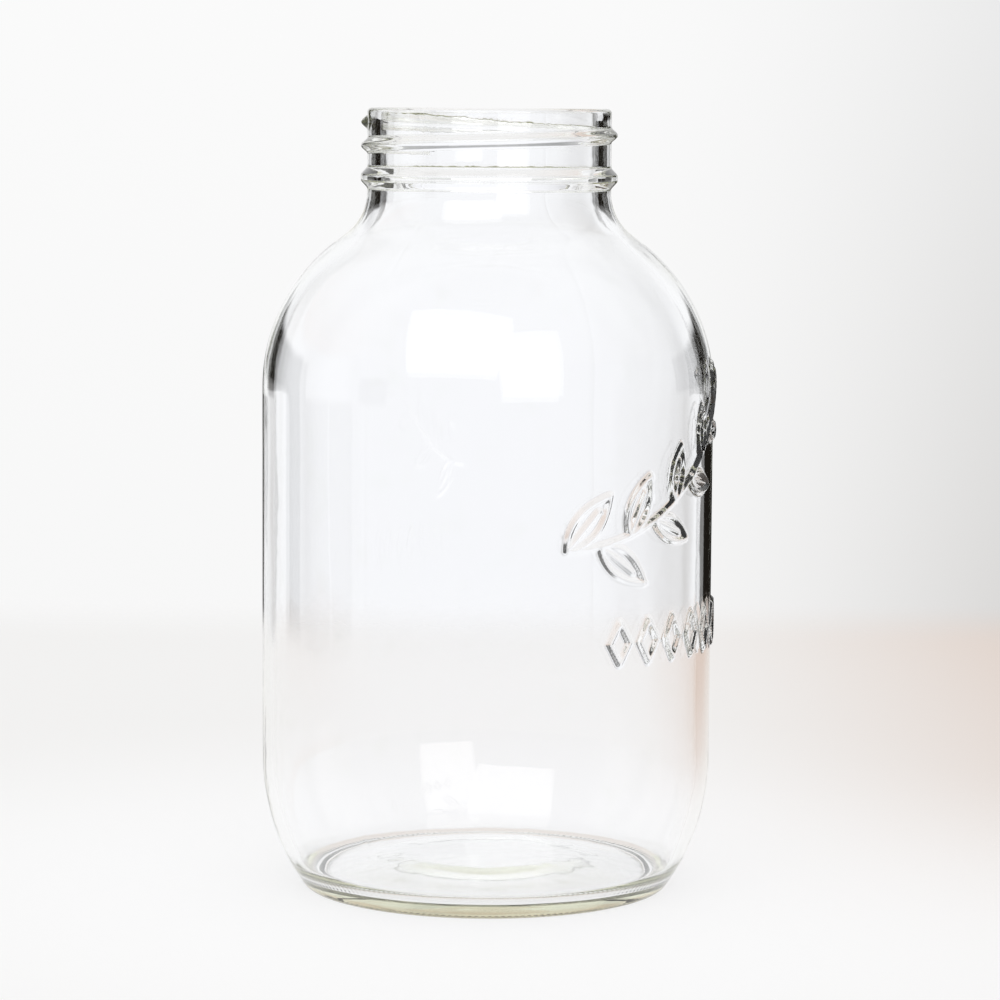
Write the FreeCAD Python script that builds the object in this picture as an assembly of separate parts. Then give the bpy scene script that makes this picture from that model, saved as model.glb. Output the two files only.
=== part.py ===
"""A half gallon canning jar: one piece of clear moulded glass, open at the mouth.

Millimetres and degrees.  The jar stands on the XY plane with its axis on +Z and
the origin at the centre of its base.  The hollow wall is one turned outline, and
the screw thread is swept round the neck and fused to it.
"""

import FreeCAD, Part
import math
import os

# Overall
jar_height = 213.4
body_diameter = 123.3
body_wall = 3.2

# Neck and rim, for a 70 mm screw cap
neck_diameter = 66.5
neck_wall = 3.75
rim_round = 1.2

# Screw thread: one start, right-handed, a little over one turn
thread_pitch = 6.35
thread_turns = 1.15
thread_bead_radius = 1.5
thread_proud = 1.7
thread_start_depth = 3.9        # from the rim down to the middle of the bead where it starts
thread_start_azimuth = 178.0

# Ring bead under the thread
ring_depth = 18.8               # from the rim down to the middle of the bead
ring_proud = 1.75
ring_root_width = 5.6
ring_crest_width = 1.8
ring_root_round = 0.8
ring_crest_round = 1.1

# Shoulder
neck_depth = 29.8               # from the rim down to the corner between neck and shoulder
shoulder_slope = 52.9           # away from upright, between its two bends
shoulder_round = 49.0
neck_fillet = 14.5

# Heel and base
heel_height = 35.9              # where the upright body starts to turn in
heel_slope = 34.0               # away from upright, where the heel meets the base
heel_round = 61.0
heel_corner_round = 2.5
resting_ring_width = 3.2
resting_ring_round = 1.0
push_up_height = 4.0
push_up_edge_height = 0.9
push_up_edge_run = 1.6
push_up_edge_round = 1.5
push_up_flat_radius = 24.0
push_up_round = 40.0
base_thickness = 4.2
base_edge_thickness = 2.7
floor_slope = 26.0              # inside, away from upright, where the wall meets the floor
floor_corner_round = 8.0

# Worked out
neck_radius = neck_diameter / 2
bore_radius = neck_radius - neck_wall
body_radius = body_diameter / 2
cavity_radius = body_radius - body_wall
longest_bend_share = 0.98       # of a straight wall, at most, is taken up by its two bends


def slope_run(rise, slope):
    """Sideways run of a line that climbs by rise at a slope away from upright."""
    return rise * math.tan(math.radians(slope))


def bend_reach(radius, slope):
    """Length from a bend's sharp corner to where its arc begins, for a turn of slope."""
    return radius * math.tan(math.radians(slope) / 2)


def point(radius, height):
    """A point of the turned outline, in the XZ plane."""
    return FreeCAD.Vector(radius, 0, height)


def half_angles(corners):
    """Half of the angle at each corner, and a right angle (no bend) at the two ends."""
    inner = []
    for before, corner, after in zip(corners, corners[1:], corners[2:]):
        back = point(*before[:2]) - point(*corner[:2])
        ahead = point(*after[:2]) - point(*corner[:2])
        inner.append(back.getAngle(ahead) / 2)
    return [math.pi / 2, *inner, math.pi / 2]


def fitted_reaches(corners, half):
    """Each bend's reach along its two walls, less where two bends need more than their wall."""
    wanted = [bend / math.tan(angle) for (_, _, bend), angle in zip(corners, half)]
    share = [1.0] * len(corners)
    for i, (here, there) in enumerate(zip(corners, corners[1:])):
        wall = (point(*there[:2]) - point(*here[:2])).Length * longest_bend_share
        fit = min(1.0, wall / max(wanted[i] + wanted[i + 1], wall))
        share[i], share[i + 1] = min(share[i], fit), min(share[i + 1], fit)
    return [reach * part for reach, part in zip(wanted, share)]


def rounded_outline(corners):
    """Edges through (radius, height, round) corners, each bend a tangent arc.

    The first and last corners are the ends of the outline and have no round.
    """
    half = half_angles(corners)
    reaches = fitted_reaches(corners, half)
    edges = []
    start = point(*corners[0][:2])
    for i in range(1, len(corners) - 1):
        corner = point(*corners[i][:2])
        back = (point(*corners[i - 1][:2]) - corner).normalize()
        ahead = (point(*corners[i + 1][:2]) - corner).normalize()
        bend = reaches[i] * math.tan(half[i])
        middle = (back + ahead).normalize()
        arc_middle = corner + middle * (bend / math.sin(half[i]) - bend)
        arc_start, arc_end = corner + back * reaches[i], corner + ahead * reaches[i]
        edges.append(Part.LineSegment(start, arc_start).toShape())
        edges.append(Part.Arc(arc_start, arc_middle, arc_end).toShape())
        start = arc_end
    edges.append(Part.LineSegment(start, point(*corners[-1][:2])).toShape())
    return edges


def base_corners():
    """Underside, from the axis out to the outer edge of the resting ring."""
    heel_corner_height = heel_height - bend_reach(heel_round, heel_slope)
    ring_outer = body_radius - slope_run(heel_corner_height, heel_slope)
    ring_inner = ring_outer - resting_ring_width
    return [
        (0, push_up_height, 0),
        (push_up_flat_radius, push_up_height, push_up_round),
        (ring_inner - push_up_edge_run, push_up_edge_height, push_up_edge_round),
        (ring_inner, 0, resting_ring_round),
        (ring_outer, 0, heel_corner_round),
        (body_radius, heel_corner_height, heel_round),
    ]


def shoulder_corners(upper_radius, lower_radius, neck_bend, shoulder_bend):
    """The two bends of the shoulder, going up from a wall of lower to upper radius.

    The neck bends of the outer and the inner wall end level, so they share a centre.
    """
    outer_reach = bend_reach(neck_fillet, shoulder_slope)
    neck_corner = jar_height - neck_depth + outer_reach - bend_reach(neck_bend, shoulder_slope)
    drop = (lower_radius - upper_radius) / slope_run(1, shoulder_slope)
    return [
        (lower_radius, neck_corner - drop, shoulder_bend),
        (upper_radius, neck_corner, neck_bend),
    ]


def ring_bead_corners():
    """The ring bead on the outside of the neck, going up."""
    middle = jar_height - ring_depth
    crest_radius = neck_radius + ring_proud
    return [
        (neck_radius, middle - ring_root_width / 2, ring_root_round),
        (crest_radius, middle - ring_crest_width / 2, ring_crest_round),
        (crest_radius, middle + ring_crest_width / 2, ring_crest_round),
        (neck_radius, middle + ring_root_width / 2, ring_root_round),
    ]


def cavity_corners():
    """Inside of the jar, from the top of the neck down to the axis at the floor."""
    heel_bend = heel_round - body_wall
    heel_corner_height = heel_height - bend_reach(heel_bend, floor_slope)
    floor_edge = push_up_edge_height + base_edge_thickness
    floor_edge_radius = cavity_radius - slope_run(heel_corner_height - floor_edge, floor_slope)
    shoulder = shoulder_corners(
        bore_radius, cavity_radius, neck_fillet + neck_wall, shoulder_round - body_wall)
    return [
        (bore_radius, jar_height, rim_round),
        *reversed(shoulder),
        (cavity_radius, heel_corner_height, heel_bend),
        (floor_edge_radius, floor_edge, floor_corner_round),
        (push_up_flat_radius, push_up_height + base_thickness, push_up_round),
        (0, push_up_height + base_thickness, 0),
    ]


def jar_wall():
    """The turned wall of the jar, from the base to the rim."""
    corners = [
        *base_corners(),
        *shoulder_corners(neck_radius, body_radius, neck_fillet, shoulder_round),
        *ring_bead_corners(),
        (neck_radius, jar_height, rim_round),
        *cavity_corners(),
    ]
    edges = rounded_outline(corners)
    edges.append(Part.LineSegment(point(*corners[-1][:2]), point(*corners[0][:2])).toShape())
    outline = Part.Face(Part.Wire(Part.__sortEdges__(edges)))
    return outline.revolve(FreeCAD.Vector(0, 0, 0), FreeCAD.Vector(0, 0, 1), 360)


def thread_bead():
    """The screw thread's bead: a round section swept down the neck, with ball ends."""
    bead_path_radius = neck_radius + thread_proud - thread_bead_radius
    drop = thread_pitch * thread_turns
    path = Part.makeHelix(thread_pitch, drop, bead_path_radius)
    path.rotate(FreeCAD.Vector(0, 0, 0), FreeCAD.Vector(0, 0, 1),
                thread_start_azimuth - 360 * thread_turns)
    path.translate(FreeCAD.Vector(0, 0, jar_height - thread_start_depth - drop))
    run = path.Edges[0]
    foot, head = run.valueAt(run.FirstParameter), run.valueAt(run.LastParameter)
    section = Part.Wire(Part.makeCircle(thread_bead_radius, foot, run.tangentAt(run.FirstParameter)))
    bead = Part.Wire(path.Edges).makePipeShell([section], True, True)
    ball_ends = [Part.makeSphere(thread_bead_radius, end) for end in (foot, head)]
    return bead.multiFuse(ball_ends)


def glass_jar():
    """The whole jar as one solid."""
    return jar_wall().fuse(thread_bead()).removeSplitter()


os.makedirs("parts", exist_ok=True)
jar = glass_jar()
jar.exportStep("parts/glass_jar.step")
box = jar.BoundBox
print("solids", len(jar.Solids), "valid", jar.isValid())
print("size", round(box.XLength, 2), round(box.YLength, 2), round(box.ZLength, 2))
print("glass volume, ml", round(jar.Volume / 1000, 1))
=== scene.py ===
"""The looks of a half gallon canning jar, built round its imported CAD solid.

Metres and radians, in the frame of the CAD model: +Z up the jar's axis, -Y the front.
An angle round the jar is counted from the front, towards +X.  The jar's wall is a flat
sheet, as wide as the body is round and as long as the jar's turned outline, which
Geometry Nodes turn round the axis and dress with the screw thread, the raised ornament
and the unevenness of pressed and blown glass.
"""

from __future__ import annotations

import logging
import math
from dataclasses import dataclass, field
from enum import Enum
from typing import Any, Iterable, Mapping, Sequence

import bmesh
import bpy
from mathutils import Euler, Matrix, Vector, kdtree


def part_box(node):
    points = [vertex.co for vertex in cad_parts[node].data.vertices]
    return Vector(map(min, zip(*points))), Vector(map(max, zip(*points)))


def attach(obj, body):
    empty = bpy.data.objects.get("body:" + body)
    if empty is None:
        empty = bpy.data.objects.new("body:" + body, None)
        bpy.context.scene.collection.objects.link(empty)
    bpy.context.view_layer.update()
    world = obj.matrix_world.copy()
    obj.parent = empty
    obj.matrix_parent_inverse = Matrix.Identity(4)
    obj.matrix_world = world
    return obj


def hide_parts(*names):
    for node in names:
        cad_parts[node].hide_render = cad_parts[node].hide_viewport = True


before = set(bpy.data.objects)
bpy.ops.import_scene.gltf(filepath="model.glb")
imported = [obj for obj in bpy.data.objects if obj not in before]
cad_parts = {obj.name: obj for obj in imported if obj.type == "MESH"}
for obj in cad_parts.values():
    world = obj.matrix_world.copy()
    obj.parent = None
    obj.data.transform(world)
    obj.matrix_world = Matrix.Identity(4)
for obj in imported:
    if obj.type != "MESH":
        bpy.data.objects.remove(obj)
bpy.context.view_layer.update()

MM = 0.001
DEGREE = math.radians(1)
Colour = tuple[float, float, float, float]
Pair = tuple[float, float]  # a place on a sheet, or where a soft step starts and ends
WHITE: Colour = (1, 1, 1, 1)
log = logging.getLogger("canning_jar")


# ---- Node trees ----


class Wire:
    """A value that comes out of a node, which Python's operators turn into more nodes."""

    def __init__(self, tree: Tree, socket: bpy.types.NodeSocket) -> None:
        """Holds one output socket and the tree that it is in."""
        self.tree = tree
        self.socket = socket

    def maths(self, operation: str, *values: Wire | float) -> Wire:
        """Adds a Math node on the given values."""
        sockets = dict(enumerate(values))
        return self.tree.add("ShaderNodeMath", {"operation": operation}, sockets)["Value"]

    def __add__(self, other: Wire | float) -> Wire:
        """self + other."""
        return self.maths("ADD", self, other)

    def __sub__(self, other: Wire | float) -> Wire:
        """self - other."""
        return self.maths("SUBTRACT", self, other)

    def __rsub__(self, other: float) -> Wire:
        """other - self."""
        return self.maths("SUBTRACT", other, self)

    def __mul__(self, other: Wire | float) -> Wire:
        """self * other."""
        return self.maths("MULTIPLY", self, other)

    def __truediv__(self, other: Wire | float) -> Wire:
        """self / other."""
        return self.maths("DIVIDE", self, other)

    def __pow__(self, power: float) -> Wire:
        """self to a power."""
        return self.maths("POWER", self, power)

    __radd__ = __add__
    __rmul__ = __mul__

    def sine(self) -> Wire:
        """Sine of an angle."""
        return self.maths("SINE", self)

    def cosine(self) -> Wire:
        """Cosine of an angle."""
        return self.maths("COSINE", self)

    def size(self) -> Wire:
        """The value without its sign."""
        return self.maths("ABSOLUTE", self)

    def at_least(self, other: Wire | float) -> Wire:
        """The larger of two values."""
        return self.maths("MAXIMUM", self, other)

    def at_most(self, other: Wire | float) -> Wire:
        """The smaller of two values."""
        return self.maths("MINIMUM", self, other)

    def below(self, limit: Wire | float) -> Wire:
        """1 where the value is under the limit, else 0."""
        return self.maths("LESS_THAN", self, limit)

    def wrapped(self, low: float, high: float) -> Wire:
        """The value brought between low and high by whole turns of their difference."""
        return self.maths("WRAP", self, high, low)

    def clamped(self) -> Wire:
        """The value, kept between 0 and 1."""
        return self.at_least(0).at_most(1)

    def length_with(self, other: Wire) -> Wire:
        """Length of the flat vector (self, other)."""
        return (self * self + other * other) ** 0.5

    def ramp(self, start: float, end: float) -> Wire:
        """A smooth step between two values.

        Args:
            start: where the step is still 0.
            end: where it has come to 1, which may be under start.

        Returns:
            The step's share, from 0 to 1.
        """
        if end < start:
            return 1 - self.ramp(end, start)
        settings = {"interpolation_type": "SMOOTHSTEP"}
        limits = {"Value": self, "From Min": start, "From Max": end}
        return self.tree.add("ShaderNodeMapRange", settings, limits)["Result"]


class Made:
    """A node that has been made, whose outputs are read by name."""

    def __init__(self, tree: Tree, node: bpy.types.Node) -> None:
        """Holds a node and the tree that it is in."""
        self.tree = tree
        self.node = node

    def __getitem__(self, name: str) -> Wire:
        """The output of that name."""
        shown = [socket for socket in self.node.outputs if socket.enabled and socket.name == name]
        return Wire(self.tree, shown[0])


class Tree:
    """A node tree under construction."""

    def __init__(self, tree: bpy.types.NodeTree) -> None:
        """Wraps a node tree, shader or geometry."""
        self.tree = tree

    def add(
        self,
        kind: str,
        settings: Mapping[str, Any] | None = None,
        sockets: Mapping[str | int, Any] | None = None,
    ) -> Made:
        """Makes a node.

        Args:
            kind: the node's Blender type.
            settings: its properties, which are set first because they choose its sockets.
            sockets: a value, a Wire or a list of Wires for each named or numbered input.

        Returns:
            The node that was made.
        """
        node = self.tree.nodes.new(kind)
        for name, value in (settings or {}).items():
            setattr(node, name, value)
        for key, value in (sockets or {}).items():
            socket = self.input_of(node, key)
            for item in value if isinstance(value, list) else [value]:
                if isinstance(item, Wire):
                    self.tree.links.new(item.socket, socket)
                else:
                    socket.default_value = item
        return Made(self, node)

    @staticmethod
    def input_of(node: bpy.types.Node, key: str | int) -> bpy.types.NodeSocket:
        """The input with that number, or the one in use with that name."""
        if isinstance(key, int):
            return node.inputs[key]
        return next(socket for socket in node.inputs if socket.enabled and socket.name == key)

    def vector(self, x: Wire | float, y: Wire | float, z: Wire | float) -> Wire:
        """A vector of three values."""
        return self.add("ShaderNodeCombineXYZ", sockets={"X": x, "Y": y, "Z": z})["Vector"]

    def parts(self, vector: Wire) -> tuple[Wire, Wire, Wire]:
        """The three values of a vector."""
        split = self.add("ShaderNodeSeparateXYZ", sockets={"Vector": vector})
        return split["X"], split["Y"], split["Z"]

    def noise(self, place: Wire, scale: float, detail: float = 2.0) -> Wire:
        """Smooth noise about 0, mostly between -0.25 and 0.25."""
        sockets = {"Vector": place, "Scale": scale, "Detail": detail}
        return self.add("ShaderNodeTexNoise", sockets=sockets)["Fac"] - 0.5

    def blend(self, share: Wire, first: Wire | Colour, second: Wire | Colour) -> Wire:
        """A colour between two colours."""
        sockets = {"Factor": share, "A": first, "B": second}
        return self.add("ShaderNodeMix", {"data_type": "RGBA"}, sockets)["Result"]

    def product(self, first: Wire, second: Wire | Sequence[float]) -> Wire:
        """Two vectors or colours, multiplied part by part."""
        sockets = {0: first, 1: second}
        return self.add("ShaderNodeVectorMath", {"operation": "MULTIPLY"}, sockets)["Vector"]


class Kind(Enum):
    """What kind of value a Geometry Nodes input takes."""

    NUMBER = "NodeSocketFloat"
    COUNT = "NodeSocketInt"
    PLACE = "NodeSocketVector"
    OBJECT = "NodeSocketObject"
    MATERIAL = "NodeSocketMaterial"
    GEOMETRY = "NodeSocketGeometry"


class ShapeTree(Tree):
    """A Geometry Nodes tree with named inputs, which shapes one object."""

    def __init__(self, name: str) -> None:
        """Starts a tree with a geometry coming in and going out.

        Args:
            name: the name of the tree and of its modifier.
        """
        super().__init__(bpy.data.node_groups.new(name, "GeometryNodeTree"))
        self.tree.interface.new_socket("Geometry", in_out="INPUT", socket_type=Kind.GEOMETRY.value)
        self.tree.interface.new_socket("Geometry", in_out="OUTPUT", socket_type=Kind.GEOMETRY.value)
        self.start = self.tree.nodes.new("NodeGroupInput")
        self.values: dict[str, Any] = {}

    def ask(self, name: str, value: Any, kind: Kind = Kind.NUMBER) -> Wire:
        """Adds a named input to the tree.

        Args:
            name: the input's name.
            value: what this object gives it.
            kind: what kind of value it takes.

        Returns:
            The input's value, inside the tree.
        """
        socket = self.tree.interface.new_socket(name, in_out="INPUT", socket_type=kind.value)
        self.values[socket.identifier] = value
        return Wire(self, next(s for s in self.start.outputs if s.identifier == socket.identifier))

    def geometry(self) -> Wire:
        """The geometry that comes in."""
        return Wire(self, self.start.outputs[0])

    def end(self, geometry: Wire, material: bpy.types.Material) -> None:
        """Ends the tree: what was instanced is made real and gets its material.

        Args:
            geometry: what the tree has made.
            material: the material of all of it.
        """
        real = self.add("GeometryNodeRealizeInstances", sockets={"Geometry": geometry})["Geometry"]
        wanted = self.ask("Material", material, Kind.MATERIAL)
        sockets = {"Geometry": real, "Material": wanted}
        dressed = self.add("GeometryNodeSetMaterial", sockets=sockets)
        self.add("NodeGroupOutput", sockets={0: dressed["Geometry"]})

    def bake(self, source: bpy.types.Object, name: str) -> bpy.types.Object:
        """Runs the tree on an object and keeps the result as a plain mesh.

        Args:
            source: the object that goes in, which is removed afterwards.
            name: the name of the object that comes out.

        Returns:
            A new object at the origin, with no modifiers.
        """
        modifier = source.modifiers.new(self.tree.name, "NODES")
        modifier.node_group = self.tree
        for identifier, value in self.values.items():
            modifier[identifier] = value
        graph = bpy.context.evaluated_depsgraph_get()
        mesh = bpy.data.meshes.new_from_object(source.evaluated_get(graph))
        source.modifiers.clear()
        bpy.data.objects.remove(source)
        mesh.name = name
        return show(name, mesh)


def show(name: str, data: bpy.types.ID) -> bpy.types.Object:
    """Puts a mesh, curve, lamp or camera in the scene.

    Args:
        name: the object's name.
        data: what the object shows.

    Returns:
        The object, at the origin.
    """
    shown = bpy.data.objects.new(name, data)
    bpy.context.scene.collection.objects.link(shown)
    return shown


def new_material(name: str) -> tuple[bpy.types.Material, Tree]:
    """Starts a material.

    Args:
        name: the material's name.

    Returns:
        The material, with no nodes, and its tree.
    """
    material = bpy.data.materials.new(name)
    material.use_nodes = True
    material.node_tree.nodes.clear()
    return material, Tree(material.node_tree)


# ---- The turned outline ----


@dataclass(frozen=True)
class Corner:
    """A corner of the turned outline, and how far apart rows of faces are on the wall after it."""

    radius: float
    height: float
    bend: float
    row_step: float


@dataclass
class Outline:
    """The jar's outline from the middle of the base out, up, over the rim and down inside."""

    corners: Sequence[Corner]
    chain_step: float = 0.4 * MM
    chain_turn: float = 4 * DEGREE
    row_turn: float = 12 * DEGREE
    row_slack: float = 0.01
    level_slack: float = 1e-6
    points: list[Vector] = field(default_factory=list)
    lengths: list[float] = field(default_factory=list)
    spans: list[tuple[int, float]] = field(default_factory=list)

    def __post_init__(self) -> None:
        """Works out the chain of points along the walls and the bends between them."""
        places = [Vector((corner.radius, corner.height)) for corner in self.corners]
        self.points = [places[0]]
        for i in range(1, len(places) - 1):
            before = (places[i - 1] - places[i]).normalized()
            after = (places[i + 1] - places[i]).normalized()
            half = before.angle(after) / 2
            bend = self.corners[i].bend
            steps = (self.corners[i - 1].row_step, self.corners[i].row_step)
            self.go_to(places[i] + before * bend / math.tan(half), steps[0])
            centre = places[i] + (before + after).normalized() * bend / math.sin(half)
            row_step = min(*steps, bend * self.row_turn)
            self.turn_about(centre, math.pi - 2 * half, before, after, row_step)
        self.go_to(places[-1], self.corners[-2].row_step)
        self.lengths = [0.0]
        for here, there in zip(self.points, self.points[1:]):
            self.lengths.append(self.lengths[-1] + (there - here).length)

    def go_to(self, end: Vector, row_step: float) -> None:
        """Adds a straight wall.

        Args:
            end: the point that it goes up to.
            row_step: how far apart its rows of faces are.
        """
        self.spans.append((len(self.points) - 1, row_step))
        start = self.points[-1]
        count = max(1, math.ceil((end - start).length / self.chain_step))
        self.points += [start.lerp(end, i / count) for i in range(1, count + 1)]

    def turn_about(
        self, centre: Vector, turn: float, before: Vector, after: Vector, row_step: float
    ) -> None:
        """Adds a round bend that starts at the last point.

        Args:
            centre: the bend's centre.
            turn: the angle that it turns through.
            before: from the corner back along the wall before it.
            after: from the corner on along the wall after it.
            row_step: how far apart its rows of faces are.
        """
        self.spans.append((len(self.points) - 1, row_step))
        arm = self.points[-1] - centre
        side = math.copysign(1, before.cross(after))
        step = min(self.chain_turn, self.chain_step / arm.length)
        count = max(2, math.ceil(turn / step))
        for i in range(1, count + 1):
            angle = -side * turn * i / count
            turned = Vector((
                arm.x * math.cos(angle) - arm.y * math.sin(angle),
                arm.x * math.sin(angle) + arm.y * math.cos(angle),
            ))
            self.points.append(centre + turned)

    def rows(self) -> list[float]:
        """Works out where rows of faces lie.

        Returns:
            Their lengths along the outline, from 0 up.
        """
        ends = [start for start, _ in self.spans[1:]] + [len(self.points) - 1]
        rows = [0.0]
        for (start, step), end in zip(self.spans, ends):
            low, high = self.lengths[start], self.lengths[end]
            count = max(1, math.ceil((high - low) / step - self.row_slack))
            rows += [low + (high - low) * i / count for i in range(1, count + 1)]
        return rows

    def length_at(self, height: float) -> float:
        """Finds where the outline's outer side first passes a height.

        Args:
            height: the height to look for.

        Returns:
            The length along the outline there.

        Raises:
            ValueError: the outline never passes that height.
        """
        for i in range(1, len(self.points)):
            low, high = self.points[i - 1].y, self.points[i].y
            if self.points[i].x > self.points[0].x and low <= height < high:
                step = self.lengths[i] - self.lengths[i - 1]
                return self.lengths[i - 1] + (height - low) / (high - low) * step
        raise ValueError(f"the outline never passes {height:.4f} m")

    def top_length(self) -> float:
        """Finds the middle of the rim.

        Returns:
            Its length along the outline.
        """
        top = max(point.y for point in self.points)
        spots = zip(self.points, self.lengths)
        level = [length for point, length in spots if top - point.y < self.level_slack]
        return (level[0] + level[-1]) / 2

    def make_curve(self) -> bpy.types.Object:
        """Draws the outline as a curve.

        Returns:
            The curve object, in the XZ plane.
        """
        data = bpy.data.curves.new("jar_outline", "CURVE")
        data.dimensions = "3D"
        spline = data.splines.new("POLY")
        spline.points.add(len(self.points) - 1)
        for spot, point in zip(spline.points, self.points):
            spot.co = (point.x, 0, point.y, 1)
        return show("jar_outline", data)


# ---- The jar ----


@dataclass(frozen=True)
class Thread:
    """The screw thread: one round bead, right-handed, a little over one turn."""

    start_angle: float = -92 * DEGREE
    start_depth: float = 3.9 * MM
    pitch: float = 6.35 * MM
    turns: float = 1.15
    proud: float = 1.7 * MM
    half_width: float = 2.2 * MM


@dataclass(frozen=True)
class Seams:
    """The two lines that the halves of the mould leave, opposite each other."""

    angle: float = -31.3 * DEGREE
    proud: float = 0.035 * MM
    half_width: float = 0.8 * MM
    lowest: float = 12 * MM
    fade: float = 8 * MM


@dataclass(frozen=True)
class Unevenness:
    """How far the glass waves in and out: streaks up the inside, a soft ripple outside."""

    streak_depth: float = 0.16 * MM
    streak_scale: float = 105.0
    streak_stretch: float = 0.12
    ripple_depth: float = 0.05 * MM
    ripple_scale: float = 55.0


@dataclass(frozen=True)
class Ornament:
    """Raised on the body's right: a leafy sprig over a row of plain lozenges.

    Places are (distance round the body from the front, height).
    """

    stem_start: Pair = (21 * MM, 99 * MM)
    stem_bow: Pair = (56 * MM, 100 * MM)
    stem_end: Pair = (93 * MM, 141 * MM)
    leaf_count: int = 10
    leaf_length: float = 19 * MM
    leaf_width: float = 7 * MM
    leaf_lean: float = 46 * DEGREE
    tip_scale: float = 0.55
    row_start: Pair = (37 * MM, 74 * MM)
    row_end: Pair = (97 * MM, 74 * MM)
    lozenge_count: int = 7
    lozenge_width: float = 6.5 * MM
    lozenge_height: float = 11 * MM
    leaf_belly: float = 0.42
    midrib_share: float = 0.72
    stroke_half_width: float = 1.15 * MM
    stroke_height: float = 0.95 * MM
    stroke_step: float = 0.5 * MM
    stem_points: int = 48
    leaf_points: int = 24

    def make(self, base_length: float, material: bpy.types.Material) -> bpy.types.Object:
        """Draws the ornament's strokes as edges on the flat sheet.

        Args:
            base_length: what is added to a height to give its length along the outline.
            material: any material, for the tree's end.

        Returns:
            An object whose edges are the strokes.
        """
        tree = ShapeTree("ornament_strokes")

        def spot(name: str, place: Pair) -> Wire:
            """A named input for a place on the sheet."""
            return tree.ask(name, (place[0], place[1] + base_length, 0), Kind.PLACE)

        stem_sockets = {
            "Resolution": self.stem_points,
            "Start": spot("Stem Start", self.stem_start),
            "Middle": spot("Stem Bow", self.stem_bow),
            "End": spot("Stem End", self.stem_end),
        }
        stem = tree.add("GeometryNodeCurveQuadraticBezier", sockets=stem_sockets)["Curve"]
        leaf_count = tree.ask("Leaf Count", self.leaf_count, Kind.COUNT)
        sockets = {"Curve": stem, "Count": leaf_count}
        stations = tree.add("GeometryNodeCurveToPoints", sockets=sockets)
        run_x, run_y, _ = tree.parts(stations["Tangent"])
        number = tree.add("GeometryNodeInputIndex")["Index"]
        side = 1 - 2 * number.maths("MODULO", number, 2)
        lean = tree.ask("Leaf Lean", self.leaf_lean)
        turn = run_y.maths("ARCTAN2", run_y, run_x) + side * lean
        shrink = tree.ask("Tip Scale", self.tip_scale)
        scale = 1 - (1 - shrink) * number / (leaf_count - 1)
        leaves = tree.add("GeometryNodeInstanceOnPoints", sockets={
            "Points": stations["Points"],
            "Instance": self.leaf(tree),
            "Rotation": tree.vector(0, 0, turn),
            "Scale": tree.vector(scale, scale, scale),
        })["Instances"]
        row_line = tree.add("GeometryNodeCurvePrimitiveLine", sockets={
            "Start": spot("Row Start", self.row_start),
            "End": spot("Row End", self.row_end),
        })["Curve"]
        lozenge_count = tree.ask("Lozenge Count", self.lozenge_count, Kind.COUNT)
        sockets = {"Curve": row_line, "Count": lozenge_count}
        row = tree.add("GeometryNodeCurveToPoints", sockets=sockets)
        lozenges = tree.add("GeometryNodeInstanceOnPoints", sockets={
            "Points": row["Points"],
            "Instance": self.lozenge(tree),
        })["Instances"]
        sockets = {"Geometry": [stem, leaves, lozenges]}
        curves = tree.add("GeometryNodeJoinGeometry", sockets=sockets)["Geometry"]
        real = tree.add("GeometryNodeRealizeInstances", sockets={"Geometry": curves})["Geometry"]
        sockets = {"Curve": real, "Length": self.stroke_step}
        fine = tree.add("GeometryNodeResampleCurve", {"mode": "LENGTH"}, sockets)
        strokes = tree.add("GeometryNodeCurveToMesh", sockets={"Curve": fine["Curve"]})["Mesh"]
        tree.end(strokes, material)
        seed = show("ornament_seed", bpy.data.meshes.new("ornament_seed"))
        return tree.bake(seed, "ornament_strokes")

    def leaf(self, tree: ShapeTree) -> Wire:
        """Draws one leaf's outline and midrib.

        Args:
            tree: the tree that the leaf is drawn in.

        Returns:
            The leaf's curves, from the origin along +X.
        """
        length = tree.ask("Leaf Length", self.leaf_length)
        width = tree.ask("Leaf Width", self.leaf_width)
        lines = []
        for side in (1, -1):
            lines.append(tree.add("GeometryNodeCurveQuadraticBezier", sockets={
                "Resolution": self.leaf_points,
                "Start": (0, 0, 0),
                "Middle": tree.vector(length * self.leaf_belly, width * side, 0),
                "End": tree.vector(length, 0, 0),
            })["Curve"])
        lines.append(tree.add("GeometryNodeCurvePrimitiveLine", sockets={
            "Start": (0, 0, 0),
            "End": tree.vector(length * self.midrib_share, 0, 0),
        })["Curve"])
        return tree.add("GeometryNodeJoinGeometry", sockets={"Geometry": lines})["Geometry"]

    def lozenge(self, tree: ShapeTree) -> Wire:
        """Draws one lozenge.

        Args:
            tree: the tree that the lozenge is drawn in.

        Returns:
            Its curve, about the origin.
        """
        sockets = {"Resolution": 4, "Radius": 0.5}
        ring = tree.add("GeometryNodeCurvePrimitiveCircle", sockets=sockets)["Curve"]
        width = tree.ask("Lozenge Width", self.lozenge_width)
        height = tree.ask("Lozenge Height", self.lozenge_height)
        sockets = {"Geometry": ring, "Scale": tree.vector(width, height, 1)}
        return tree.add("GeometryNodeTransform", sockets=sockets)["Geometry"]


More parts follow.
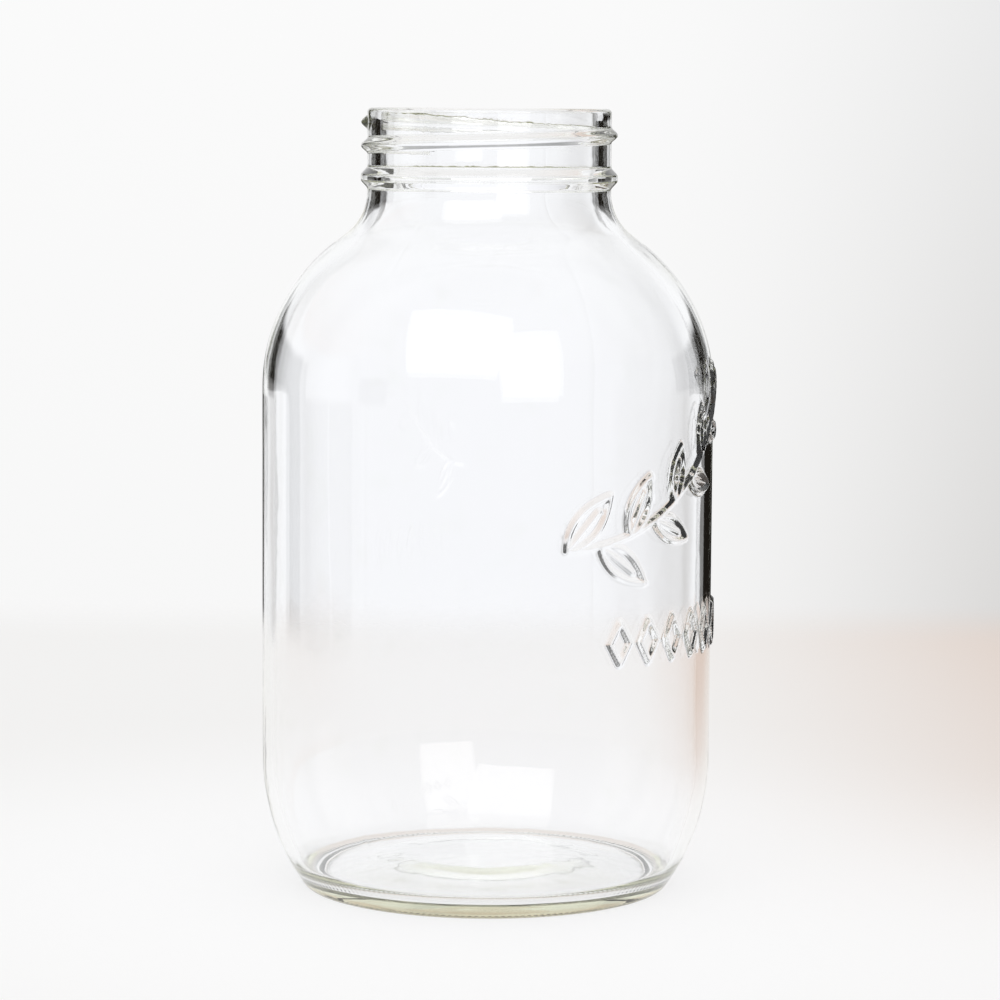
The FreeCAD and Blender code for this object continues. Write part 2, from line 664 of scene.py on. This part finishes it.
@dataclass
class Jar:
    """The one piece of glass, with the sizes of its wall."""

    height: float
    body_radius: float
    body_wall: float = 3.2 * MM
    neck_radius: float = 33.25 * MM
    neck_wall: float = 3.75 * MM
    neck_depth: float = 29.8 * MM
    neck_fillet: float = 14.5 * MM
    rim_round: float = 1.2 * MM
    ring_depth: float = 18.8 * MM
    ring_proud: float = 1.75 * MM
    ring_root_width: float = 5.6 * MM
    ring_crest_width: float = 1.8 * MM
    ring_root_round: float = 0.8 * MM
    ring_crest_round: float = 1.1 * MM
    shoulder_slope: float = 52.9 * DEGREE
    shoulder_round: float = 49 * MM
    heel_height: float = 35.9 * MM
    heel_slope: float = 34 * DEGREE
    heel_round: float = 61 * MM
    heel_corner_round: float = 2.5 * MM
    resting_ring_width: float = 3.2 * MM
    resting_ring_round: float = 1.0 * MM
    push_up_height: float = 4.0 * MM
    push_up_edge_height: float = 0.9 * MM
    push_up_edge_run: float = 1.6 * MM
    push_up_edge_round: float = 1.5 * MM
    push_up_flat_radius: float = 24 * MM
    push_up_round: float = 40 * MM
    base_thickness: float = 4.2 * MM
    base_edge_thickness: float = 2.7 * MM
    floor_slope: float = 26 * DEGREE
    floor_corner_round: float = 8 * MM
    column_count: int = 192
    outer_row: float = 1.6 * MM
    thread_row: float = 0.2 * MM
    ring_row: float = 0.5 * MM
    bend_row: float = 1.0 * MM
    inner_row: float = 3.0 * MM
    column_gap_share: float = 0.35
    stroke_margins: Pair = (1.6 * MM, 0.5 * MM)
    thread_end_reaches: Pair = (5 * MM, 4 * MM)
    calm_middle: Pair = (2 * MM, 12 * MM)
    calm_foot: float = 4 * MM
    merge_distance: float = 0.002 * MM
    thread: Thread = Thread()
    seams: Seams = Seams()
    unevenness: Unevenness = Unevenness()
    ornament: Ornament = Ornament()

    def base_corners(self) -> list[Corner]:
        """Works out the base and the heel.

        Returns:
            Their corners, from the middle of the underside out to the upright body.
        """
        heel_corner = self.heel_height - self.heel_round * math.tan(self.heel_slope / 2)
        ring_outer = self.body_radius - heel_corner * math.tan(self.heel_slope)
        ring_inner = ring_outer - self.resting_ring_width
        edge_radius = ring_inner - self.push_up_edge_run
        flat, rise = self.push_up_flat_radius, self.push_up_height
        return [
            Corner(0, rise, 0, self.inner_row),
            Corner(flat, rise, self.push_up_round, self.inner_row),
            Corner(edge_radius, self.push_up_edge_height, self.push_up_edge_round, self.bend_row),
            Corner(ring_inner, 0, self.resting_ring_round, self.bend_row),
            Corner(ring_outer, 0, self.heel_corner_round, self.outer_row),
            Corner(self.body_radius, heel_corner, self.heel_round, self.outer_row),
        ]

    def shoulder_corners(
        self, upper: float, lower: float, neck_bend: float, body_bend: float
    ) -> list[Corner]:
        """Works out one side of the shoulder.

        Args:
            upper: the wall's radius in the neck.
            lower: the wall's radius in the body.
            neck_bend: radius of the bend under the neck.
            body_bend: radius of the bend over the body.

        Returns:
            The shoulder's two bends, going up.
        """
        half = math.tan(self.shoulder_slope / 2)
        neck_corner = self.height - self.neck_depth + (self.neck_fillet - neck_bend) * half
        drop = (lower - upper) / math.tan(self.shoulder_slope)
        return [
            Corner(lower, neck_corner - drop, body_bend, self.outer_row),
            Corner(upper, neck_corner, neck_bend, self.bend_row),
        ]

    def neck_corners(self) -> list[Corner]:
        """Works out the outside of the neck.

        Returns:
            The ring bead's corners, going up, and the rim's outer one.
        """
        middle = self.height - self.ring_depth
        crest = self.neck_radius + self.ring_proud
        root_half, crest_half = self.ring_root_width / 2, self.ring_crest_width / 2
        return [
            Corner(self.neck_radius, middle - root_half, self.ring_root_round, self.ring_row),
            Corner(crest, middle - crest_half, self.ring_crest_round, self.ring_row),
            Corner(crest, middle + crest_half, self.ring_crest_round, self.ring_row),
            Corner(self.neck_radius, middle + root_half, self.ring_root_round, self.thread_row),
            Corner(self.neck_radius, self.height, self.rim_round, self.bend_row),
        ]

    def cavity_corners(self) -> list[Corner]:
        """Works out the inside.

        Returns:
            Its corners, from the rim down to the middle of the floor.
        """
        bore, cavity = self.neck_radius - self.neck_wall, self.body_radius - self.body_wall
        heel_bend = self.heel_round - self.body_wall
        heel_corner = self.heel_height - heel_bend * math.tan(self.floor_slope / 2)
        floor_edge = self.push_up_edge_height + self.base_edge_thickness
        edge_radius = cavity - (heel_corner - floor_edge) * math.tan(self.floor_slope)
        floor = self.push_up_height + self.base_thickness
        shoulder = self.shoulder_corners(
            bore, cavity, self.neck_fillet + self.neck_wall, self.shoulder_round - self.body_wall)
        return [
            Corner(bore, self.height, self.rim_round, self.inner_row),
            *(Corner(c.radius, c.height, c.bend, self.inner_row) for c in reversed(shoulder)),
            Corner(cavity, heel_corner, heel_bend, self.inner_row),
            Corner(edge_radius, floor_edge, self.floor_corner_round, self.inner_row),
            Corner(self.push_up_flat_radius, floor, self.push_up_round, self.inner_row),
            Corner(0, floor, 0, self.inner_row),
        ]

    def outline(self) -> Outline:
        """Puts the corners together.

        Returns:
            The whole turned outline.
        """
        shoulder = self.shoulder_corners(
            self.neck_radius, self.body_radius, self.neck_fillet, self.shoulder_round)
        outer = [*self.base_corners(), *shoulder, *self.neck_corners()]
        return Outline([*outer, *self.cavity_corners()])

    def columns(self) -> list[float]:
        """Works out where columns of faces lie, closer at the mould seams.

        Returns:
            Their distances round the body from the front.
        """
        round_half = math.pi * self.body_radius
        step = 2 * round_half / self.column_count
        even = [-round_half + i * step for i in range(self.column_count + 1)]
        first = self.seams.angle * self.body_radius
        half = self.seams.half_width
        middles = (first, first + round_half)
        seams = [middle + half * share for middle in middles for share in (-1, -0.5, 0, 0.5, 1)]
        gap = self.column_gap_share * step
        kept = [x for x in even if all(abs(x - seam) > gap for seam in seams)]
        return sorted(kept + seams)

    def make_sheet(self, outline: Outline, strokes: bpy.types.Object) -> bpy.types.Object:
        """The flat sheet of faces, finer where the ornament and the thread's ends will rise.

        Args:
            outline: the turned outline, whose rows it takes.
            strokes: the ornament's strokes, on the same sheet.

        Returns:
            The sheet as an object.
        """
        columns, rows = self.columns(), outline.rows()
        wide = len(columns)
        places = [(x, y, 0.0) for y in rows for x in columns]
        faces = [
            (j * wide + i, j * wide + i + 1, (j + 1) * wide + i + 1, (j + 1) * wide + i)
            for j in range(len(rows) - 1)
            for i in range(wide - 1)
        ]
        mesh = bpy.data.meshes.new("jar_sheet")
        mesh.from_pydata(places, [], faces)
        ends = self.thread_ends(outline)
        sheet = bmesh.new()
        sheet.from_mesh(mesh)
        reaches = [self.ornament.stroke_half_width + margin for margin in self.stroke_margins]
        self.refine(sheet, [v.co for v in strokes.data.vertices], reaches)
        self.refine(sheet, ends, self.thread_end_reaches)
        sheet.to_mesh(mesh)
        sheet.free()
        return show("jar_sheet", mesh)

    def thread_ends(self, outline: Outline) -> list[Vector]:
        """Finds where the thread starts and stops.

        Args:
            outline: the turned outline.

        Returns:
            The two places on the flat sheet.
        """
        ends = []
        for turns in (0, self.thread.turns):
            angle = (self.thread.start_angle - turns * math.tau + math.pi) % math.tau - math.pi
            height = self.height - self.thread.start_depth - turns * self.thread.pitch
            ends.append(Vector((angle * self.body_radius, outline.length_at(height), 0)))
        return ends

    @staticmethod
    def refine(sheet: bmesh.types.BMesh, spots: Iterable[Vector], reaches: Sequence[float]) -> None:
        """Halves the faces that are near any of the spots, again and again.

        Args:
            sheet: the sheet whose faces are halved.
            spots: the places to be near.
            reaches: how near a face's middle has to be, once for each halving.
        """
        spots = list(spots)
        tree = kdtree.KDTree(len(spots))
        for i, spot in enumerate(spots):
            tree.insert(spot, i)
        tree.balance()
        for reach in reaches:
            near = [f for f in sheet.faces if tree.find(f.calc_center_median())[2] < reach]
            edges = list({edge for face in near for edge in face.edges})
            bmesh.ops.subdivide_edges(sheet, edges=edges, cuts=1, use_grid_fill=True)

    def thread_rise(self, tree: ShapeTree, angle: Wire, height: Wire) -> Wire:
        """Works out how far the screw thread stands out of the neck.

        Args:
            tree: the tree that turns the jar.
            angle: the angle round the jar.
            height: the height on the jar.

        Returns:
            The rise, 0 away from the thread.
        """
        thread = self.thread
        start = tree.ask("Thread Start Angle", thread.start_angle)
        top = tree.ask("Thread Start Height", self.height - thread.start_depth)
        pitch = tree.ask("Thread Pitch", thread.pitch)
        turns = tree.ask("Thread Turns", thread.turns)
        proud = tree.ask("Thread Proud", thread.proud)
        half_width = tree.ask("Thread Half Width", thread.half_width)
        passed = ((start - angle) / math.tau).wrapped(0, 1)
        nearest = None
        for whole_turns in (-1, 0, 1):
            along = passed + whole_turns
            on_bead = along.at_least(0).at_most(turns)
            beyond = (along - on_bead) * math.tau * self.neck_radius
            off_level = height - (top - pitch * on_bead)
            gap = beyond * beyond + off_level * off_level
            nearest = gap if nearest is None else nearest.at_most(gap)
        slack = 1 - (nearest / (half_width * half_width)).at_most(1)
        return proud * slack * slack

    def stroke_rise(self, tree: ShapeTree, flat: Wire, strokes: bpy.types.Object) -> Wire:
        """Works out how far the ornament's strokes stand out of the body.

        Args:
            tree: the tree that turns the jar.
            flat: the place on the flat sheet.
            strokes: the object whose edges are the strokes.

        Returns:
            The rise, 0 away from the strokes.
        """
        drawn = tree.ask("Ornament Strokes", strokes, Kind.OBJECT)
        half_width = tree.ask("Stroke Half Width", self.ornament.stroke_half_width)
        stroke_height = tree.ask("Stroke Height", self.ornament.stroke_height)
        lines = tree.add("GeometryNodeObjectInfo", sockets={"Object": drawn})["Geometry"]
        sockets = {"Geometry": lines, "Sample Position": flat}
        gap = tree.add("GeometryNodeProximity", {"target_element": "EDGES"}, sockets)["Distance"]
        share = (gap / half_width).at_most(1)
        slack = 1 - share * share
        return stroke_height * slack * slack

    def seam_rise(self, tree: ShapeTree, angle: Wire, height: Wire) -> Wire:
        """Works out how far the mould seams stand out, on both sides of the jar.

        Args:
            tree: the tree that turns the jar.
            angle: the angle round the jar.
            height: the height on the jar.

        Returns:
            The rise, 0 away from the seams.
        """
        middle = tree.ask("Seam Angle", self.seams.angle)
        proud = tree.ask("Seam Proud", self.seams.proud)
        half_width = tree.ask("Seam Half Width", self.seams.half_width)
        gap = (angle - middle).sine().size() * self.body_radius
        slack = 1 - (gap / half_width).at_most(1)
        lowest = self.seams.lowest
        return proud * slack * slack * height.ramp(lowest, lowest + self.seams.fade)

    def turning_tree(
        self, outline: Outline, strokes: bpy.types.Object, glass: bpy.types.Material
    ) -> ShapeTree:
        """Makes the tree that turns the flat sheet round the axis and raises what stands out.

        Args:
            outline: the turned outline.
            strokes: the object whose edges are the ornament's strokes.
            glass: the jar's material.

        Returns:
            The finished tree.
        """
        tree = ShapeTree("turned_jar")
        body_radius = tree.ask("Body Radius", self.body_radius)
        rim_length = tree.ask("Length To Rim", outline.top_length())
        curve = tree.ask("Outline", outline.make_curve(), Kind.OBJECT)
        flat = tree.add("GeometryNodeInputPosition")["Position"]
        around, along, _ = tree.parts(flat)
        angle = around / body_radius
        drawn = tree.add("GeometryNodeObjectInfo", sockets={"Object": curve})["Geometry"]
        sockets = {"Curves": drawn, "Length": along}
        spot = tree.add("GeometryNodeSampleCurve", {"mode": "LENGTH"}, sockets)
        radius, _, height = tree.parts(spot["Position"])
        run_out, _, run_up = tree.parts(spot["Tangent"])
        outside = along.below(rim_length)
        place = tree.vector(angle.sine() * radius, angle.cosine() * radius, height)
        uneven = self.unevenness
        stretched = tree.product(place, (1, 1, uneven.streak_stretch))
        streak_depth = tree.ask("Streak Depth", uneven.streak_depth)
        ripple_depth = tree.ask("Ripple Depth", uneven.ripple_depth)
        away_from_axis = radius.ramp(*self.calm_middle)
        below_neck = height.ramp(self.height - self.ring_depth, self.height - self.neck_depth)
        streaks = tree.noise(stretched, uneven.streak_scale) * streak_depth
        streaks = streaks * (1 - outside) * below_neck
        ripple = tree.noise(place, uneven.ripple_scale) * ripple_depth * outside
        raised = (
            self.thread_rise(tree, angle, height)
            + self.stroke_rise(tree, flat, strokes)
            + self.seam_rise(tree, angle, height)
        )
        above_ring = height.ramp(self.resting_ring_round, self.calm_foot)
        rise = raised * outside + (streaks + ripple * above_ring * below_neck) * away_from_axis
        out = radius + run_up * rise
        turned = tree.vector(angle.sine() * out, angle.cosine() * out * -1, height - run_out * rise)
        sockets = {"Geometry": tree.geometry(), "Position": turned}
        moved = tree.add("GeometryNodeSetPosition", sockets=sockets)["Geometry"]
        sockets = {"Geometry": moved, "Distance": self.merge_distance}
        closed = tree.add("GeometryNodeMergeByDistance", sockets=sockets)["Geometry"]
        tree.end(closed, glass)
        return tree

    def make(self, glass: bpy.types.Material) -> bpy.types.Object:
        """Builds the jar.

        Args:
            glass: its material.

        Returns:
            The jar as one closed mesh, attached to the root body, with the CAD part hidden.
        """
        outline = self.outline()
        start = outline.length_at(self.heel_height) - self.heel_height
        strokes = self.ornament.make(start, glass)
        sheet = self.make_sheet(outline, strokes)
        tree = self.turning_tree(outline, strokes, glass)
        jar = tree.bake(sheet, "moulded_glass_jar")
        for helper in (strokes, bpy.data.objects["jar_outline"]):
            bpy.data.objects.remove(helper)
        self.close(jar.data)
        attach(jar, "root")
        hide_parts("glass_jar")
        return jar

    @staticmethod
    def close(mesh: bpy.types.Mesh) -> None:
        """Turns every face outwards and shades the glass smooth.

        Args:
            mesh: the jar's mesh, already closed.
        """
        shell = bmesh.new()
        shell.from_mesh(mesh)
        bmesh.ops.recalc_face_normals(shell, faces=shell.faces)
        loose = sum(1 for edge in shell.edges if not edge.is_manifold)
        shell.to_mesh(mesh)
        shell.free()
        mesh.polygons.foreach_set("use_smooth", [True] * len(mesh.polygons))
        log.info("glass wall: %d faces, %d open edges", len(mesh.polygons), loose)


# ---- Finishes ----


@dataclass(frozen=True)
class ClearGlass:
    """Clear soda-lime glass with a faint olive cast where it is thick, and a darker tan foot ring
    of painted shade.
    """

    neck_from: float
    refraction: float = 1.52
    tint: Colour = (0.72, 0.73, 0.50, 1)
    tint_density: float = 12.0
    worn: Colour = (0.985, 0.988, 0.98, 1)
    wear_scale: float = 90.0
    wear_step: Pair = (0.12, 0.3)
    wear_roughness: float = 0.02
    foot_step: Pair = (1.2 * MM, 0.4 * MM)
    foot_roughness: float = 0.2
    # painted shade: the foot ring is coloured darker and tan, for the dark seen through the heel
    # and the contact shadow
    painted_foot_shade: Colour = (0.80, 0.70, 0.62, 1)
    foot_shade_radii: Pair = (48.5 * MM, 50 * MM)
    foot_shade_heights: Pair = (2.9 * MM, 1.7 * MM)
    peel_scale: float = 260.0
    peel_depth: float = 0.005 * MM
    grain_scale: float = 800.0
    grain_depth: float = 0.004 * MM
    grain_fade: float = 4 * MM
    tick_count: int = 180
    tick_depth: float = 0.05 * MM

    def make(self) -> bpy.types.Material:
        """Mixes the glass.

        Returns:
            Its material, with the pattern on the object's own coordinates.
        """
        material, tree = new_material("clear_glass")
        place = tree.add("ShaderNodeTexCoord")["Object"]
        x, y, height = tree.parts(place)
        relief = tree.noise(place, self.peel_scale, 0.0) * self.peel_depth
        neck = height.ramp(self.neck_from, self.neck_from + self.grain_fade)
        relief = relief + tree.noise(place, self.grain_scale, 0.0) * self.grain_depth * neck
        foot = height.ramp(*self.foot_step)
        ticks = (x.maths("ARCTAN2", y, x) * self.tick_count).sine()
        relief = relief + ticks * self.tick_depth * foot
        sockets = {"Strength": 1.0, "Distance": 1.0, "Height": relief}
        bump = tree.add("ShaderNodeBump", sockets=sockets)
        wear = tree.noise(place, self.wear_scale, 1.0).ramp(*self.wear_step)
        roughness = wear * self.wear_roughness + foot * self.foot_roughness
        colour = tree.blend(wear, WHITE, self.worn)
        # Painted shade: the foot ring's colour darkens to tan, in place of the dark seen through
        # the heel and the contact shadow under it.
        foot_shade_mask = x.length_with(y).ramp(*self.foot_shade_radii) * height.ramp(*self.foot_shade_heights)
        colour = tree.blend(foot_shade_mask, colour, self.painted_foot_shade)
        surface = tree.add("ShaderNodeBsdfPrincipled", sockets={
            "Base Color": colour,
            "Roughness": roughness,
            "IOR": self.refraction,
            "Transmission Weight": 1.0,
            "Normal": bump["Normal"],
        })
        sockets = {"Color": self.tint, "Density": self.tint_density}
        inside = tree.add("ShaderNodeVolumeAbsorption", sockets=sockets)
        sockets = {"Surface": surface["BSDF"], "Volume": inside["Volume"]}
        tree.add("ShaderNodeOutputMaterial", sockets=sockets)
        return material


# ---- The studio ----


@dataclass(frozen=True)
class Table:
    """A pale eight-sided table with a soft far edge, so that it ends alike in every direction."""

    sides: int = 8
    reach: float = 0.62
    edge_step: Pair = (0.455, 0.59)
    shadow_share: float = 0.2
    # Painted light: the table is whitest in the middle and painted dimmer towards its rim, for the
    # studio light's falloff.
    middle: Colour = (0.975, 0.975, 0.978, 1)
    rim: Colour = (0.898, 0.892, 0.885, 1)
    rim_step: Pair = (0.06, 0.3)
    # Painted shade: towards the right and the back the table is painted darker and warm.
    warm: Colour = (0.72, 0.60, 0.53, 1)
    warm_shade_right: Pair = (0.03, 0.30)
    warm_shade_back: Pair = (-0.15, 0.19)
    through_gain: Colour = (1.03, 1.03, 1.06, 1)

    def material(self) -> bpy.types.Material:
        """Mixes a white that is mostly alight, so that the jar's shadow is faint.

        Returns:
            The table's material, with painted warm shade to the right, painted dimming towards its
            rim, and clear at its far edge.
        """
        material, tree = new_material("pale_table")
        place = tree.add("ShaderNodeTexCoord")["Object"]
        x, y, _ = tree.parts(place)
        distance = x.length_with(y)
        half_side = 180 / self.sides
        sector = (x.maths("ARCTAN2", x, y) / DEGREE).wrapped(-half_side, half_side)
        # Painted light: whiter in the middle, painted dimmer towards the rim.
        near = tree.blend(distance.ramp(*self.rim_step), self.middle, self.rim)
        # Painted shade: a darker, warm patch on the table's right, towards the back.
        warm_shade_share = x.ramp(*self.warm_shade_right) * y.ramp(*self.warm_shade_back)
        rays = tree.add("ShaderNodeLightPath")
        gain = tree.blend(rays["Is Transmission Ray"], WHITE, self.through_gain)
        colour = tree.product(tree.blend(warm_shade_share, near, self.warm), gain)
        glow = tree.add("ShaderNodeEmission", sockets={"Color": colour, "Strength": 1.0})
        matt = tree.add("ShaderNodeBsdfDiffuse", sockets={"Color": colour})
        sockets = {0: self.shadow_share, 1: glow["Emission"], 2: matt["BSDF"]}
        lit = tree.add("ShaderNodeMixShader", sockets=sockets)
        clear = tree.add("ShaderNodeBsdfTransparent")
        edge = distance * (sector * DEGREE).cosine()
        gone = edge.ramp(*self.edge_step)
        sockets = {0: gone, 1: lit["Shader"], 2: clear["BSDF"]}
        mixed = tree.add("ShaderNodeMixShader", sockets=sockets)
        tree.add("ShaderNodeOutputMaterial", sockets={"Surface": mixed["Shader"]})
        material.cycles.emission_sampling = "NONE"
        return material

    def make(self) -> bpy.types.Object:
        """Lays the table under the jar.

        Returns:
            The table's top, level with what the jar rests on.
        """
        mesh = bpy.data.meshes.new("pale_table")
        side = 360 / self.sides * DEGREE
        corner = self.reach / math.cos(side / 2)
        turns = [(i + 0.5) * side for i in range(self.sides)]
        places = [(corner * math.cos(turn), corner * math.sin(turn), 0) for turn in turns]
        mesh.from_pydata(places, [], [tuple(range(self.sides))])
        mesh.materials.append(self.material())
        table = show("pale_table", mesh)
        return table


@dataclass(frozen=True)
class Surroundings:
    """A white room that is dark beside each view's backdrop, which gives the glass black edges.

    Angles are in degrees, round the room from the back or away from the middle of a
    backdrop, and up from level.  A pair is where a soft step starts and where it ends.
    """

    level: float = 0.88
    front_level: float = 0.8
    front_turn: Pair = (95, 125)
    through_gain: Colour = (1.04, 1.05, 1.10, 1)
    views: int = 8
    white: float = 0.958
    right_power: float = 3.1
    right_loss: float = 0.186
    low_from: float = 1.4
    low_span: float = 9.4
    low_loss: float = 0.024
    low_right_loss: float = 0.144
    low_right_warmth: float = 0.035
    warmth_spread: float = 0.4
    black: Colour = (0.012, 0.010, 0.008, 1)
    ahead_middle: float = -37.0
    ahead_half: float = 88.0
    astern_middle: float = 135.0
    backdrop_half: float = 45.0
    left_to_right: Pair = (-0.5, 0.5)
    far: Pair = (19.0, 21.0)
    near: Pair = (0.2, 0.8)
    edge_left: float = 15.0
    edge_right: float = 34.0
    edge_softness: float = 1.6
    near_to_far: Pair = (-3.9, -1.5)
    outside_half: float = 70.0
    wall_reach: float = 37.0
    wall_softness: float = 3.0
    neck_reach: float = 10.0
    neck_lift: Pair = (-2.4, -1.4)
    band_foot: Pair = (-9.6, -8.6)
    band_top: Pair = (11, 8)
    above: float = 0.55
    above_lift: Pair = (26, 30)

    def make(self) -> bpy.types.World:
        """Paints the room, as seen directly, through glass or in a reflection.

        Returns:
            The world, which the scene now has.
        """
        world = bpy.data.worlds.new("white_room")
        world.use_nodes = True
        world.node_tree.nodes.clear()
        tree = Tree(world.node_tree)
        x, y, z = tree.parts(tree.add("ShaderNodeTexCoord")["Generated"])
        elevation = z.maths("ARCSINE", z) / DEGREE
        direction = x.maths("ARCTAN2", x, y) / DEGREE
        backdrop = self.backdrop(tree, direction, elevation)
        rays = tree.add("ShaderNodeLightPath")
        behind = direction.size().ramp(*self.front_turn) * rays["Is Glossy Ray"]
        reflected = tree.blend(behind, backdrop, (self.front_level,) * 3 + (1,))
        dark = self.dark_sides(direction, elevation, rays)
        gain = tree.blend(rays["Is Transmission Ray"], WHITE, self.through_gain)
        through = tree.blend(dark, tree.product(reflected, gain), self.black)
        bent = rays["Is Transmission Ray"].at_least(rays["Is Glossy Ray"])
        seen = tree.blend(rays["Is Camera Ray"], (self.level,) * 3 + (1,), backdrop)
        sockets = {"Color": tree.blend(bent, seen, through), "Strength": 1.0}
        light = tree.add("ShaderNodeBackground", sockets=sockets)
        tree.add("ShaderNodeOutputWorld", sockets={"Surface": light["Background"]})
        bpy.context.scene.world = world
        return world

    def backdrop(self, tree: Tree, direction: Wire, elevation: Wire) -> Wire:
        """White, falling off towards the right of each view and a little towards the table.

        Args:
            tree: the world's tree.
            direction: the angle round the room.
            elevation: the angle up from level.

        Returns:
            The backdrop's colour.
        """
        right = (direction * (self.views * DEGREE)).sine().at_least(0) ** self.right_power
        low = ((self.low_from - elevation) / self.low_span).clamped()
        right_loss = right * (low * self.low_right_loss + self.right_loss)
        white = self.white - low * self.low_loss - right_loss
        warm = right * low * self.low_right_warmth
        return tree.add("ShaderNodeCombineColor", sockets={
            "Red": white + warm * self.warmth_spread,
            "Green": white,
            "Blue": white - warm * self.warmth_spread,
        })["Color"]

    def dark_sides(self, direction: Wire, elevation: Wire, rays: Made) -> Wire:
        """Works out where light is missing beside the backdrops.

        Light that went straight through is dark far from a backdrop.  Light that was
        reflected counts only at the glass's very edge, inside one wall or on its outside.

        Args:
            direction: the angle round the room.
            elevation: the angle up from level.
            rays: what the light has met on its way.

        Returns:
            1 where light is missing, 0 elsewhere.
        """
        mirrored = rays["Glossy Depth"].at_most(1)
        passed = rays["Transmission Depth"]
        never = passed.below(0.5)
        ahead = (direction - self.ahead_middle).size().below(self.ahead_half)
        astern = (direction - self.astern_middle).wrapped(-180, 180).size()
        aside = direction.wrapped(-self.backdrop_half, self.backdrop_half)
        away = ahead * aside.size() + (1 - ahead) * astern
        far = away.ramp(*self.far)
        right = aside.ramp(*self.left_to_right)
        limit = self.edge_left + right * (self.edge_right - self.edge_left)
        near = away.ramp(*self.near) * ((limit - away) / self.edge_softness + 0.5).clamped()
        edge = near + elevation.ramp(*self.near_to_far) * (far - near)
        outside = never * direction.size().below(self.outside_half)
        one_wall = passed.below(2.5) * (1 - never) * ahead
        reach = self.wall_reach + elevation.ramp(*self.neck_lift) * self.neck_reach
        one_wall = one_wall * ((reach - away) / self.wall_softness).clamped()
        band = elevation.ramp(*self.band_foot) * elevation.ramp(*self.band_top)
        straight = (far * band).at_least(elevation.ramp(*self.above_lift) * self.above)
        return mirrored * band * edge * outside.at_least(one_wall) + (1 - mirrored) * straight


@dataclass(frozen=True)
class WindowPanel:
    """A soft panel in front of the jar, which shows in the glass like a window.

    It spans a range of degrees round from the front and a range up from level.
    """

    name: str
    turn_from: float
    turn_to: float
    lift_from: float
    lift_to: float
    brightness: float
    distance: float = 1.6
    aim_height: float = 0.1

    def make(self) -> bpy.types.Object:
        """Hangs the panel, facing the jar.

        Returns:
            An area lamp, unseen by the camera itself.
        """
        lamp = bpy.data.lights.new(self.name, "AREA")
        lamp.shape = "RECTANGLE"
        lamp.size = 2 * self.distance * math.tan((self.turn_to - self.turn_from) * DEGREE / 2)
        lamp.size_y = 2 * self.distance * math.tan((self.lift_to - self.lift_from) * DEGREE / 2)
        lamp.energy = self.brightness * math.pi * lamp.size * lamp.size_y
        panel = show(self.name, lamp)
        turn = (self.turn_from + self.turn_to) / 2 * DEGREE
        lift = (self.lift_from + self.lift_to) / 2 * DEGREE
        level = math.cos(lift)
        away = Vector((math.sin(turn) * level, -math.cos(turn) * level, math.sin(lift)))
        panel.location = away * self.distance + Vector((0, 0, self.aim_height))
        panel.rotation_euler = away.to_track_quat("Z", "Y").to_euler()
        panel.visible_camera = False
        return panel


@dataclass(frozen=True)
class Camera:
    """The camera, level with the jar's rim and looking a little down at it."""

    lens: float = 133.33
    sensor: float = 36.0
    distance: float = 1.0124
    look_down: float = 6.037 * DEGREE
    turn_right: float = 0.198 * DEGREE
    roll: float = 0.373 * DEGREE

    def make(self, height: float) -> bpy.types.Object:
        """Makes the camera and has the scene use it.

        Args:
            height: how high it stands.

        Returns:
            The camera.
        """
        data = bpy.data.cameras.new("view")
        data.lens = self.lens
        data.sensor_width = self.sensor
        camera = show("view", data)
        camera.location = (0, -self.distance, height)
        aim = Euler((math.pi / 2 - self.look_down, 0, -self.turn_right)).to_matrix()
        rolled = Euler((0, 0, self.roll)).to_matrix()
        camera.rotation_euler = (aim @ rolled).to_euler()
        bpy.context.scene.camera = camera
        return camera


def let_light_run(bounces: int = 24, bounces_in_glass: int = 20) -> None:
    """Lets light be mirrored often enough inside the glass to find its way out.

    Args:
        bounces: how often light may turn in all.
        bounces_in_glass: how often it may be mirrored, and how often it may pass through.
    """
    cycles = bpy.context.scene.cycles
    cycles.max_bounces = bounces
    cycles.glossy_bounces = bounces_in_glass
    cycles.transmission_bounces = bounces_in_glass


def main() -> None:
    """Builds the jar and the studio round it."""
    logging.basicConfig(level=logging.INFO, format="%(message)s")
    low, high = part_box("glass_jar")
    jar = Jar(height=high.z, body_radius=(high.x - low.x) / 2)
    glass = ClearGlass(neck_from=jar.height - jar.neck_depth).make()
    piece = jar.make(glass)
    log.info("%s: %d vertices", piece.name, len(piece.data.vertices))
    Table().make()
    Surroundings().make()
    WindowPanel("left_window", -42, 5, 15, 54, 1.1).make()
    WindowPanel("right_window", 7, 38, 1, 40, 1.1).make()
    Camera().make(jar.height)
    bpy.context.scene.view_settings.view_transform = "Standard"
    let_light_run()


if __name__ == "__main__":
    main()
